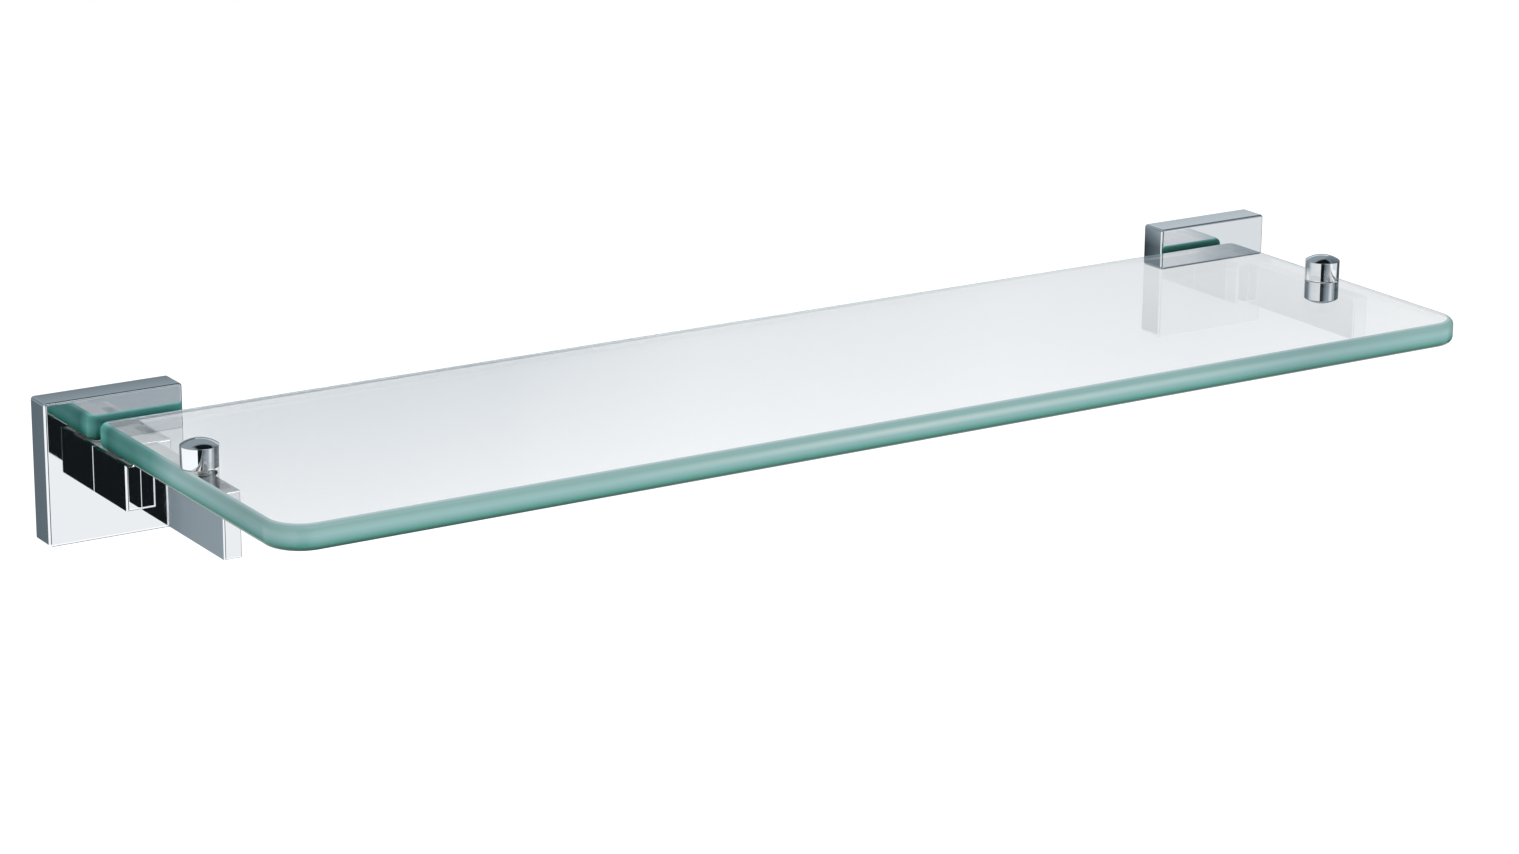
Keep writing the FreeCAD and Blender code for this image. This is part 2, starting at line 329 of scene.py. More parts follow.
@dataclass(frozen=True)
class ZincPlate:
    """Zinc plated pressed steel: dull, faintly spangled, with a cold blue cast."""

    name: str = "zinc_plate"
    dark: tuple = (0.46, 0.49, 0.53)
    light: tuple = (0.66, 0.69, 0.72)
    spangle_scale: float = 900.0
    spangle_height: float = 0.03 * MM
    cloud_scale: float = 160.0
    roughness_low: float = 0.26
    roughness_high: float = 0.42

    def material(self) -> Material:
        """Makes the material.

        Returns:
            Spangled zinc for the wall plates.
        """
        material, graph, shader = new_material(self.name, {"Metallic": 1.0})
        spangle = graph.placed("ShaderNodeTexVoronoi", {"Scale": self.spangle_scale})
        cloud = graph.placed("ShaderNodeTexNoise", {"Scale": self.cloud_scale, "Detail": 4.0})
        color = graph.ramp(cloud.outputs["Fac"], [(0.35, self.dark), (0.68, self.light)])
        graph.join(color, shader.inputs["Base Color"])
        rough = graph.span(spangle.outputs["Color"], 0.0, 1.0, self.roughness_low, self.roughness_high)
        graph.join(rough, shader.inputs["Roughness"])
        graph.relief(shader, spangle.outputs["Distance"], 0.5, self.spangle_height)
        return material


@dataclass(frozen=True)
class TurnedSteel:
    """Plain stainless steel with fine tool marks."""

    name: str = "turned_steel"
    tint: tuple = (0.60, 0.60, 0.60)
    mark_scale: float = 900.0
    mark_height: float = 0.01 * MM
    roughness_low: float = 0.18
    roughness_high: float = 0.34

    def material(self) -> Material:
        """Makes the material.

        Returns:
            Steel with fine marks.
        """
        material, graph, shader = new_material(self.name, {"Base Color": (*self.tint, 1.0), "Metallic": 1.0})
        marks = graph.placed("ShaderNodeTexNoise", {"Scale": self.mark_scale, "Detail": 3.0})
        rough = graph.span(marks.outputs["Fac"], 0.3, 0.7, self.roughness_low, self.roughness_high)
        graph.join(rough, shader.inputs["Roughness"])
        graph.relief(shader, marks.outputs["Fac"], 0.4, self.mark_height)
        return material


@dataclass(frozen=True)
class ClearPlastic:
    """Thin clear or milky plastic, for bushes, washers and film pads."""

    name: str
    tint: tuple
    transmission: float
    roughness: float
    alpha: float = 1.0
    index: float = 1.50
    ripple_scale: float = 1500.0
    ripple_height: float = 0.01 * MM

    def material(self) -> Material:
        """Makes the material.

        Returns:
            Clear or milky plastic, as the fields say.
        """
        material, graph, shader = new_material(self.name, {
            "Base Color": (*self.tint, 1.0), "Roughness": self.roughness, "IOR": self.index,
            "Transmission Weight": self.transmission, "Alpha": self.alpha})
        add_ripple(graph, shader, self.ripple_scale, self.ripple_height, 2.0)
        return material


@dataclass(frozen=True)
class GlassFace:
    """Clear float glass, seen through from above and mirroring the room at a low angle."""

    name: str = "glass_face"
    tint: tuple = (0.935, 0.93, 0.93)
    mirror_share: float = 0.84
    facing_start: float = 0.690
    facing_end: float = 0.750

    def material(self) -> Material:
        """Makes the material.

        Returns:
            Clear glass that mirrors more at a low angle.
        """
        material, graph, shader = new_material(self.name, {
            "Base Color": (*self.tint, 1.0), "Roughness": 0.0, "IOR": GLASS_INDEX, "Transmission Weight": 1.0})
        slant = graph.add("ShaderNodeLayerWeight", {"Blend": 0.5})
        share = graph.span(slant.outputs["Facing"], self.facing_start, self.facing_end, 0.0, self.mirror_share)
        graph.join(share, shader.inputs["Metallic"])
        return material


@dataclass(frozen=True)
class GlassEdge:
    """The polished edge: banded green from outside with painted light, painted shade darker towards the wall, and
    pale from within.

    Bands of green with painted pale and dark lines run from the lower face to the upper one, painted shade by depth
    from the rear edge to the front one, and painted light along the length from the left end to the right one, once
    for the front edge and once for the rear edge; a painted highlight lights the middle of the front edge.
    """

    low: Vector
    high: Vector
    name: str = "glass_edge"
    # painted light by height: green glass with a painted pale line at the top arris, a painted lighter middle and
    # painted dark lines at the lower face
    green_and_painted_light_bands: tuple = (
        (0.00, (0.01, 0.09, 0.06)), (0.14, (0.01, 0.115, 0.08)), (0.24, (0.09, 0.36, 0.285)),
        (0.40, (0.27, 0.51, 0.475)), (0.57, (0.365, 0.60, 0.575)), (0.68, (0.362, 0.58, 0.545)),
        (0.82, (0.305, 0.51, 0.47)), (0.95, (0.34, 0.51, 0.49)), (1.00, (0.60, 0.72, 0.72)),
    )
    # painted shade by depth: darker green towards the wall, a painted highlight just in front of the rear edge, paler
    # towards the front
    painted_light_by_depth: tuple = (
        (0.0, (0.20, 0.54, 0.50)), (0.025, (0.46, 0.92, 0.86)), (0.065, (0.20, 0.40, 0.38)),
        (0.12, (0.28, 0.50, 0.48)), (0.21, (0.26, 0.47, 0.45)), (0.30, (0.30, 0.55, 0.53)),
        (0.43, (0.93, 0.93, 0.94)), (0.80, (0.68, 0.72, 0.73)), (0.90, (0.72, 0.76, 0.77)),
        (1.0, (0.85, 0.87, 0.88)),
    )
    # painted light along the length: a painted darker patch near the right of the front edge, and the rear edge
    # painted brighter at the left end than at the right
    front_painted_light_along: tuple = ((0.74, (1.0, 1.0, 1.0)), (0.85, (0.86, 0.86, 0.88)), (0.95, (1.0, 1.0, 1.0)))
    rear_painted_light_along: tuple = ((0.0, (1.60, 1.45, 1.45)), (1.0, (0.56, 0.60, 0.52)))
    rear_reach: float = 3.0 * MM
    # painted highlight: a lighter band halfway up the front edge, brightest in the middle of its length, where a soft
    # light shows on the rounded edge
    painted_highlight: tuple = (0.52, 0.64, 0.625)
    painted_highlight_heights: tuple = (0.49, 0.66, 0.82)
    painted_highlight_lengths: tuple = (0.24, 0.48, 0.92)
    inner: tuple = (1.0, 1.0, 1.0)
    outer_clearness: float = 0.03
    inner_clearness: float = 0.75
    roughness: float = 0.14
    gloss: float = 0.35

    def material(self) -> Material:
        """Makes the material.

        Returns:
            Green glass with painted light and shade by place along the rim.
        """
        material, graph, shader = new_material(self.name, {
            "Roughness": self.roughness, "IOR": GLASS_INDEX, "Specular IOR Level": self.gloss})
        axes = graph.placed("ShaderNodeSeparateXYZ")
        height = graph.span(axes.outputs["Z"], self.low.z, self.high.z)
        depth = graph.span(axes.outputs["Y"], self.high.y, self.low.y)
        length = graph.span(axes.outputs["X"], self.low.x, self.high.x)
        near_rear = graph.span(axes.outputs["Y"], self.high.y - self.rear_reach, self.high.y)
        # painted light and shade along the length, for the front edge and for the rear edge
        ends = graph.blend(near_rear, graph.ramp(length, self.front_painted_light_along), graph.ramp(length, self.rear_painted_light_along))
        # green by height, with the painted lines and painted lighter middle of the bands
        outer = graph.ramp(height, self.green_and_painted_light_bands)
        # the bands are tinted by the painted shade by depth and by the painted light along the length
        for tint in (graph.ramp(depth, self.painted_light_by_depth), ends):
            tinted = graph.add("ShaderNodeVectorMath", operation="MULTIPLY")
            graph.join(outer, tinted.inputs[0])
            graph.join(tint, tinted.inputs[1])
            outer = tinted.outputs["Vector"]
        # painted highlight, brightest in the middle of the length and only near the front
        painted_highlight = graph.math("MULTIPLY", self.peak(graph, height, self.painted_highlight_heights),
                            self.peak(graph, length, self.painted_highlight_lengths))
        front = graph.span(depth, 0.9, 1.0)
        outer = graph.blend(graph.math("MULTIPLY", painted_highlight, front), outer, self.painted_highlight)
        within = graph.add("ShaderNodeNewGeometry").outputs["Backfacing"]
        graph.join(graph.blend(within, outer, self.inner), shader.inputs["Base Color"])
        clearness = graph.span(within, 0.0, 1.0, self.outer_clearness, self.inner_clearness)
        graph.join(clearness, shader.inputs["Transmission Weight"])
        return material

    @staticmethod
    def peak(graph: Graph, value: NodeSocket, places: Sequence[float]) -> NodeSocket:
        """Rises from 0 to 1 and falls to 0 again.

        Args:
            graph: the material's graph.
            value: the socket with the place.
            places: where it starts, where it is 1 and where it ends.

        Returns:
            The socket with the result.
        """
        start, top, end = places
        return graph.math("MINIMUM", graph.span(value, start, top), graph.span(value, top, end, 1.0, 0.0))


@dataclass(frozen=True)
class GroundGlass:
    """The bores' ground wall: pale, matt and half clear."""

    name: str = "glass_bore"
    tint: tuple = (0.85, 0.93, 0.91)
    roughness: float = 0.35
    clearness: float = 0.6
    grain_scale: float = 2500.0
    grain_height: float = 0.02 * MM

    def material(self) -> Material:
        """Makes the material.

        Returns:
            Ground glass for the bores.
        """
        material, graph, shader = new_material(self.name, {
            "Base Color": (*self.tint, 1.0), "Roughness": self.roughness, "IOR": GLASS_INDEX,
            "Transmission Weight": self.clearness})
        add_ripple(graph, shader, self.grain_scale, self.grain_height, 2.0)
        return material


class Finish(Enum):
    """The finishes that the brackets' pieces take."""

    CHROME = MirrorChrome()
    SEAT = SeatChrome()
    ZINC = ZincPlate()
    STEEL = TurnedSteel()
    FILM = ClearPlastic("clear_film", (0.92, 0.94, 0.95), 0.7, 0.12)
    PAD = ClearPlastic("clear_pad", (0.80, 0.84, 0.85), 0.0, 0.25, alpha=0.14)
    NYLON = ClearPlastic("natural_nylon", (0.90, 0.92, 0.92), 0.35, 0.35)


PIECE_FINISHES = {
    "flange": Finish.CHROME, "post_block": Finish.SEAT, "arm": Finish.SEAT, "tie_screw": Finish.STEEL,
    "lock_washer": Finish.STEEL, "set_screw": Finish.STEEL, "arm_washer": Finish.FILM, "cap_washer": Finish.FILM,
    "rest_pads": Finish.PAD, "wall_plate": Finish.ZINC, "glass_sleeve": Finish.NYLON,
}


# ---- meshes ----

def mesh_object(name: str, bm: BMesh, materials: Sequence[Material], sharp_degrees: float = 35.0) -> Object:
    """Turns a bmesh into an object in the scene, smooth except across sharp edges.

    Args:
        name: the object's name.
        bm: the finished bmesh, which is freed; its flat faces stay exactly flat.
        materials: the object's material slots, in order.
        sharp_degrees: edges that bend more than this stay sharp.

    Returns:
        The new object.
    """
    bmesh.ops.recalc_face_normals(bm, faces=bm.faces)
    smooth = [face.smooth for face in bm.faces]
    mesh = bpy.data.meshes.new(name)
    bm.to_mesh(mesh)
    bm.free()
    for material in materials:
        mesh.materials.append(material)
    mesh.set_sharp_from_angle(angle=math.radians(sharp_degrees))
    mesh.polygons.foreach_set("use_smooth", smooth)
    piece = bpy.data.objects.new(name, mesh)
    bpy.context.scene.collection.objects.link(piece)
    log.info("%s: %d faces", name, len(mesh.polygons))
    return piece


def bridge(bm: BMesh, ring_a: Sequence[BMVert], ring_b: Sequence[BMVert],
           material: int = 0, smooth: bool = True) -> None:
    """Joins two closed rings with the same number of points by a band of quads.

    Args:
        bm: the bmesh.
        ring_a: the first ring.
        ring_b: the second ring.
        material: material slot of the band.
        smooth: whether the band is shaded smooth.
    """
    count = len(ring_a)
    for i in range(count):
        j = (i + 1) % count
        face = bm.faces.new((ring_a[i], ring_a[j], ring_b[j], ring_b[i]))
        face.material_index = material
        face.smooth = smooth


def circle(centre: Vector, radius: float, count: int) -> list[Vector]:
    """Points of a level circle, anticlockwise from +X."""
    turns = (2 * math.pi * i / count for i in range(count))
    return [centre + Vector((radius * math.cos(a), radius * math.sin(a), 0)) for a in turns]


def upright(node: str) -> tuple[Vector, float, float]:
    """Centre of the foot, radius and height of an upright round solid.

    Args:
        node: name of the solid.

    Returns:
        The centre, the radius and the height.
    """
    low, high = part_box(node)
    radius = (high.x - low.x) / 2
    return Vector((low.x + radius, low.y + radius, low.z)), radius, high.z - low.z


def lathe(profile: Sequence[tuple[float, float]], centre: Vector, count: int) -> BMesh:
    """Turns a profile about a vertical axis.

    Args:
        profile: (radius, height) pairs in order; a radius of 0 closes the shape on the axis.
        centre: where the axis meets height 0.
        count: points round each ring.

    Returns:
        The bmesh.
    """
    bm = bmesh.new()
    rings = []
    for radius, height in profile:
        foot = centre + Vector((0, 0, height))
        if radius == 0:
            rings.append([bm.verts.new(foot)])
        else:
            rings.append([bm.verts.new(p) for p in circle(foot, radius, count)])
    for a, b in zip(rings, rings[1:]):
        if len(a) == 1 or len(b) == 1:
            tip, ring = (a[0], b) if len(a) == 1 else (b[0], a)
            for i in range(count):
                bm.faces.new((tip, ring[i], ring[(i + 1) % count])).smooth = True
        else:
            bridge(bm, a, b)
    return bm


def arc(centre: tuple[float, float], radius: float, start: float, end: float, steps: int) -> list[tuple]:
    """Points of an arc in any plane, its angles in degrees from the plane's first axis."""
    angles = (math.radians(start + (end - start) * i / steps) for i in range(steps + 1))
    return [(centre[0] + radius * math.cos(a), centre[1] + radius * math.sin(a)) for a in angles]


# ---- the glass board ----

class GlassSlot(IntEnum):
    """Material slots of the glass board."""

    FACE = 0
    EDGE = 1
    BORE = 2


@dataclass
class GlassBoard:
    """The glass board with its pencil edge and two ground bores, in place of the plain solid."""

    bore_feet: list[Vector]
    node: str = "glass_shelf"
    edge_round: float = 2.4 * MM
    front_corner: float = 14.0 * MM
    rear_corner: float = 4.0 * MM
    bore_radius: float = 3.5 * MM
    bore_chamfer: float = 0.4 * MM
    corner_steps: int = 20
    edge_steps: int = 12
    bore_points: int = 64

    def outline(self, inset: float, height: float) -> list[Vector]:
        """Points round the board at one height.

        Args:
            inset: how far inside the board's widest outline.
            height: z of the points.

        Returns:
            The points, anticlockwise, the same number for every inset.
        """
        low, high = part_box(self.node)
        corners = [
            (low.x, low.y, self.front_corner, 180),
            (high.x, low.y, self.front_corner, 270),
            (high.x, high.y, self.rear_corner, 0),
            (low.x, high.y, self.rear_corner, 90),
        ]
        points = []
        for x, y, radius, start in corners:
            centre = (x + radius if x == low.x else x - radius, y + radius if y == low.y else y - radius)
            points += arc(centre, radius - inset, start, start + 90, self.corner_steps)
        return [Vector((x, y, height)) for x, y in points]

    def build(self, finishes: Sequence[Material]) -> None:
        """Builds the board.

        Args:
            finishes: materials of the faces, the edge and the bores.
        """
        low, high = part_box(self.node)
        bm = bmesh.new()
        sections = arc((self.edge_round, high.z - self.edge_round), self.edge_round, 90, 180, self.edge_steps)
        sections += [(inset, low.z + high.z - height) for inset, height in reversed(sections)]
        rings = [[bm.verts.new(p) for p in self.outline(*section)] for section in sections]
        for a, b in zip(rings, rings[1:]):
            bridge(bm, a, b, GlassSlot.EDGE)
        for height, ring in ((high.z, rings[0]), (low.z, rings[-1])):
            self.face_with_bores(bm, height, ring)
        for centre in self.bore_feet:
            self.bore(bm, centre, low.z, high.z)
        bmesh.ops.remove_doubles(bm, verts=bm.verts, dist=1e-7)
        board = mesh_object("glass_board", bm, finishes, sharp_degrees=32.0)
        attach(board, "root")
        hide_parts(self.node)

    def face_with_bores(self, bm: BMesh, height: float, ring: Sequence[BMVert]) -> None:
        """Fills a flat face inside a ring, leaving the bores open.

        Args:
            bm: the bmesh.
            height: z of the face.
            ring: the ring where the edge's round begins.
        """
        edges = [bm.edges.get((ring[i], ring[(i + 1) % len(ring)])) for i in range(len(ring))]
        for centre in self.bore_feet:
            mouth = Vector((centre.x, centre.y, height))
            verts = [bm.verts.new(p) for p in circle(mouth, self.bore_radius + self.bore_chamfer, self.bore_points)]
            edges += [bm.edges.new((verts[i], verts[(i + 1) % len(verts)])) for i in range(len(verts))]
        filled = bmesh.ops.triangle_fill(bm, edges=edges, use_beauty=True, use_dissolve=False)
        for face in filled["geom"]:
            if isinstance(face, BMFace):
                face.material_index = GlassSlot.FACE
                face.smooth = False

    def bore(self, bm: BMesh, centre: Vector, bottom: float, top: float) -> None:
        """Adds the wall of one bore with its two small bevels.

        Args:
            bm: the bmesh.
            centre: any point on the bore's axis.
            bottom: z of the lower face.
            top: z of the upper face.
        """
        wide = self.bore_radius + self.bore_chamfer
        sections = [(wide, top), (self.bore_radius, top - self.bore_chamfer),
                    (self.bore_radius, bottom + self.bore_chamfer), (wide, bottom)]
        rings = []
        for radius, height in sections:
            points = circle(Vector((centre.x, centre.y, height)), radius, self.bore_points)
            rings.append([bm.verts.new(p) for p in points])
        for a, b in zip(rings, rings[1:]):
            bridge(bm, a, b, GlassSlot.BORE)


# ---- the brackets ----

@dataclass
class Cap:
    """One domed cap nut, turned from a profile, with its washer recess and thread."""

    side: Side
    dome_height: float = 2.1 * MM
    shoulder_round: float = 0.35 * MM
    foot_round: float = 0.15 * MM
    recess_radius: float = 5.85 * MM
    recess_depth: float = 0.35 * MM
    bore_radius: float = 2.05 * MM
    crown: float = 0.7 * MM
    thread_pitch: float = 0.7 * MM
    thread_depth: float = 0.35 * MM
    drill_tip: float = 0.8 * MM
    dome_steps: int = 14
    shoulder_steps: int = 8
    foot_steps: int = 4
    points: int = 128

    def profile(self, radius: float, height: float) -> list[tuple[float, float]]:
        """The half section to turn, from the dome's top round to the end of the thread.

        Args:
            radius: the cap's radius.
            height: the cap's whole height.

        Returns:
            Radius and height pairs.
        """
        side_height = height - self.dome_height
        bore_depth = side_height - self.crown
        ball = (radius ** 2 + self.dome_height ** 2) / (2 * self.dome_height)
        ball_centre = height - ball
        # the shoulder's small arc touches the side and the dome
        small = self.shoulder_round
        reach = radius - small
        small_centre = ball_centre + math.sqrt((ball - small) ** 2 - reach ** 2)
        dome_end = math.degrees(math.atan2(small_centre - ball_centre, reach))
        dome = arc((0.0, ball_centre), ball, 90, dome_end, self.dome_steps)
        dome[0] = (0.0, dome[0][1])
        shoulder = arc((reach, small_centre), small, dome_end, 0, self.shoulder_steps)[1:]
        foot = arc((radius - self.foot_round, self.foot_round), self.foot_round, 0, -90, self.foot_steps)
        inside = [(self.recess_radius, 0.0), (self.recess_radius, self.recess_depth)]
        thread = []
        root = self.recess_depth
        while root < bore_depth - self.thread_pitch:
            thread.append((self.bore_radius, root))
            thread.append((self.bore_radius - self.thread_depth * 0.5, root + self.thread_pitch / 2))
            root += self.thread_pitch
        end = [(self.bore_radius, bore_depth), (0.0, bore_depth + self.drill_tip)]
        return dome + shoulder + foot + inside + thread + end

    def build(self, finish: Material) -> None:
        """Builds the cap in place of the plain solid.

        Args:
            finish: the cap's material.
        """
        node = f"{self.side.value}_cap"
        foot, radius, height = upright(node)
        bm = lathe(self.profile(radius, height), foot, self.points)
        cap = mesh_object(f"{self.side.value}_cap_nut", bm, [finish], sharp_degrees=40.0)
        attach(cap, f"{self.side.value}_cap_turn")
        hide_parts(node)


@dataclass
class Stud:
    """One threaded pin with a real helical thread where it can be seen."""

    side: Side
    pitch: float = 0.7 * MM
    depth: float = 0.38 * MM
    groove_slope: float = 2.4
    end_share: float = 0.75
    end_reach: float = 1.6 * MM
    socket_half: float = 1.0 * MM
    socket_depth: float = 1.6 * MM
    points: int = 36
    rows_per_turn: int = 8

    def build(self, finish: Material) -> None:
        """Builds the stud in place of the plain rod.

        Args:
            finish: the stud's material.
        """
        node = f"{self.side.value}_stud"
        foot, radius, length = upright(node)
        rows = int(length / (self.pitch / self.rows_per_turn))
        bm = bmesh.new()
        rings = []
        for row in range(rows + 1):
            rise = length * row / rows
            height, from_end = foot.z + rise, min(rise, length - rise)
            taper = min(1.0, self.end_share + from_end / self.end_reach)
            ring = []
            for i in range(self.points):
                share = (height / self.pitch - i / self.points) % 1.0
                groove = self.depth * max(0.0, 1 - abs(share - 0.5) * self.groove_slope)
                size = min(radius * taper, radius) - groove * min(1.0, taper)
                turn = 2 * math.pi * i / self.points
                ring.append(bm.verts.new((foot.x + size * math.cos(turn), foot.y + size * math.sin(turn), height)))
            rings.append(ring)
        for a, b in zip(rings, rings[1:]):
            bridge(bm, a, b)
        bm.faces.new(rings[0][::-1])
        self.socket(bm, rings[-1], foot + Vector((0, 0, length)))
        stud = mesh_object(f"{self.side.value}_stud_threaded", bm, [finish], sharp_degrees=50.0)
        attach(stud, "root")
        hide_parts(node)

    def socket(self, bm: BMesh, rim: Sequence[BMVert], top: Vector) -> None:
        """Closes the upper end with a six-sided key socket.

        Args:
            bm: the bmesh.
            rim: the thread's last ring.
            top: centre of the end face.
        """
        mouths = []
        for depth in (0.0, self.socket_depth):
            ring = []
            for i in range(self.points):
                turn = 2 * math.pi * i / self.points
                within = (turn % math.radians(60)) - math.radians(30)
                size = self.socket_half / math.cos(within)
                ring.append(bm.verts.new(top + Vector((size * math.cos(turn), size * math.sin(turn), -depth))))
            mouths.append(ring)
        bridge(bm, rim, mouths[0], smooth=False)
        bridge(bm, mouths[0], mouths[1], smooth=False)
        bm.faces.new(mouths[1])


@dataclass
class SeamBead:
    """The hairline bead that the plating leaves where one squared piece stands on another."""

    side: Side
    base: str
    piece: str
    width: float = 0.12 * MM

    def build(self, finish: Material) -> None:
        """Builds the bead round the piece where it leaves the face it stands on.

        Args:
            finish: the bead's material.
        """
        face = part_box(f"{self.side.value}_{self.base}")[0].y
        low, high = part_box(f"{self.side.value}_{self.piece}")
        bm = bmesh.new()
        rings = []
        for spread, out in ((-self.width, -self.width), (0.0, -self.width), (self.width, 0.0), (-self.width, 0.0)):
            corners = ((low.x - spread, low.z - spread), (high.x + spread, low.z - spread),
                       (high.x + spread, high.z + spread), (low.x - spread, high.z + spread))
            rings.append([bm.verts.new((x, face + out, z)) for x, z in corners])
        for a, b in zip(rings, rings[1:] + rings[:1]):
            bridge(bm, a, b, smooth=False)
        bead = mesh_object(f"{self.side.value}_{self.piece}_bead", bm, [finish])
        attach(bead, "root")


@dataclass
class Bracket:
    """One wall bracket: its solids dressed as they are, and the pieces built anew."""

    side: Side

    def dress(self, piece: str, finish: Material) -> None:
        """Gives one of the bracket's solids a finish.

        Args:
            piece: the solid's name without its side.
            finish: what it is made of.
        """
        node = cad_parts[f"{self.side.value}_{piece}"]
        node.data.materials.clear()
        node.data.materials.append(finish)
        log.info("%s: %s", node.name, finish.name)

    def build(self, finishes: dict[Finish, Material]) -> None:
        """Dresses and builds every piece of the bracket.

        Args:
            finishes: the material of each finish.
        """
        for piece, finish in PIECE_FINISHES.items():
            self.dress(piece, finishes[finish])
        for base, piece in (("flange", "post_block"), ("post_block", "arm")):
            SeamBead(self.side, base, piece).build(finishes[Finish.CHROME])
        Cap(self.side).build(finishes[Finish.CHROME])
        Stud(self.side).build(finishes[Finish.STEEL])


# ---- the studio ----

class SeenBy(Enum):
    """Which rays a studio panel shows in."""

    MIRRORS = "mirrors"
    GLASS = "glass"
    BOTH = "both"


@dataclass(frozen=True)
class Panel:
    """A curved grey or black glowing panel round the shelf, a painted reflection which only polished metal and glass
    show.

    Bearings are in degrees from straight in front (0) by way of the left (90) to behind (180).
    """

    name: str
    low: float
    high: float
    stops: tuple
    seen_by: SeenBy = SeenBy.MIRRORS
    radius: float = 1.8
    degrees_per_step: float = 2.0

    def column(self, bearing: float) -> list[Vector]:
        """Foot and head of the panel at one bearing.

        Args:
            bearing: degrees round from the front, as in the stops.

        Returns:
            The two points.
        """
        turn = math.radians(bearing)
        x, y = -self.radius * math.sin(turn), -self.radius * math.cos(turn)
        return [Vector((x, y, self.low)), Vector((x, y, self.high))]

    def build(self) -> None:
        """Builds the panel as a strip whose shade runs from stop to stop."""
        shaded = ShadedFaces()
        for (start, shade_a), (end, shade_b) in zip(self.stops, self.stops[1:]):
            steps = max(1, math.ceil(abs(end - start) / self.degrees_per_step))
            shares = [step / steps for step in range(steps + 1)]
            for share_a, share_b in zip(shares, shares[1:]):
                foot_a, head_a = self.column(start + (end - start) * share_a)
                foot_b, head_b = self.column(start + (end - start) * share_b)
                near, far = (shade_a + (shade_b - shade_a) * share for share in (share_a, share_b))
                shaded.add((foot_a, foot_b, head_b, head_a), (near, far, far, near))
        shaded.stage(self.name, self.seen_by)


class ShadedFaces:
    """Faces of a studio panel that paints reflections, each corner with its own shade of cool grey."""

    red_loss: float = 0.24
    blue_gain: float = 0.16

    def __init__(self) -> None:
        """Starts without faces."""
        self.bm = bmesh.new()
        self.shades = self.bm.loops.layers.float_color.new("shade")

    def add(self, corners: Sequence[Vector], shades: Sequence[float]) -> None:
        """Adds a face.

        Args:
            corners: its corners in order.
            shades: one shade for each corner, 0 for black and 1 for white.
        """
        face = self.bm.faces.new([self.bm.verts.new(p) for p in corners])
        for loop, shade in zip(face.loops, shades):
            depth = 1 - min(1.0, shade)
            red, blue = 1 - self.red_loss * depth, 1 + self.blue_gain * depth
            loop[self.shades] = (shade * red, shade, shade * blue, 1.0)

    def stage(self, name: str, seen_by: SeenBy) -> None:
        """Puts the faces into the scene as a piece of the studio.

        Args:
            name: the panel's name.
            seen_by: which rays it shows in; it never casts a shadow.
        """
        panel = mesh_object(name, self.bm, [panel_material()])
        panel.visible_camera = False
        panel.visible_diffuse = False
        panel.visible_glossy = seen_by is not SeenBy.GLASS
        panel.visible_transmission = seen_by is not SeenBy.MIRRORS
        panel.visible_shadow = False


def panel_material() -> Material:
    """The panels' shared material, which glows in the shade stored on each panel's corners.

    Returns:
        The material, made once.
    """
    material = bpy.data.materials.get("studio_panel")
    if material:
        return material
    material = bpy.data.materials.new("studio_panel")
    material.use_nodes = True
    material.cycles.emission_sampling = "NONE"
    graph = Graph(material.node_tree)
    shade = graph.add("ShaderNodeAttribute", attribute_name="shade")
    glow = graph.add("ShaderNodeEmission", {"Strength": 1.0})
    output = graph.add("ShaderNodeOutputMaterial")
    graph.join(shade.outputs["Color"], glow.inputs["Color"])
    graph.join(glow.outputs["Emission"], output.inputs["Surface"])
    return material


@dataclass(frozen=True)
class Sheet:
    """A level grey or black glowing panel above or below the shelf, a painted reflection which only polished metal
    mirrors.
    """

    name: str
    west: float
    east: float
    front: float
    back: float
    height: float
    shade: float
    fade: float = 0.0
    surround: float = ROOF_GREY

    def corners(self, inset: float) -> list[Vector]:
        """The sheet's corners, moved in from its rim.

        Args:
            inset: how far in, in metres.

        Returns:
            The four corners in order.
        """
        west, east = self.west + inset, self.east - inset
        front, back = self.front + inset, self.back - inset
        return [Vector((x, y, self.height)) for x, y in ((west, front), (east, front), (east, back), (west, back))]

    def build(self) -> None:
        """Builds the sheet, with a rim that fades into its surroundings where it has one."""
        shaded = ShadedFaces()
        rim, middle = self.corners(0.0), self.corners(self.fade)
        shaded.add(middle, [self.shade] * 4)
        if self.fade:
            for i in range(4):
                j = (i + 1) % 4
                shaded.add((rim[i], rim[j], middle[j], middle[i]), (self.surround,) * 2 + (self.shade,) * 2)
        shaded.stage(self.name, SeenBy.MIRRORS)


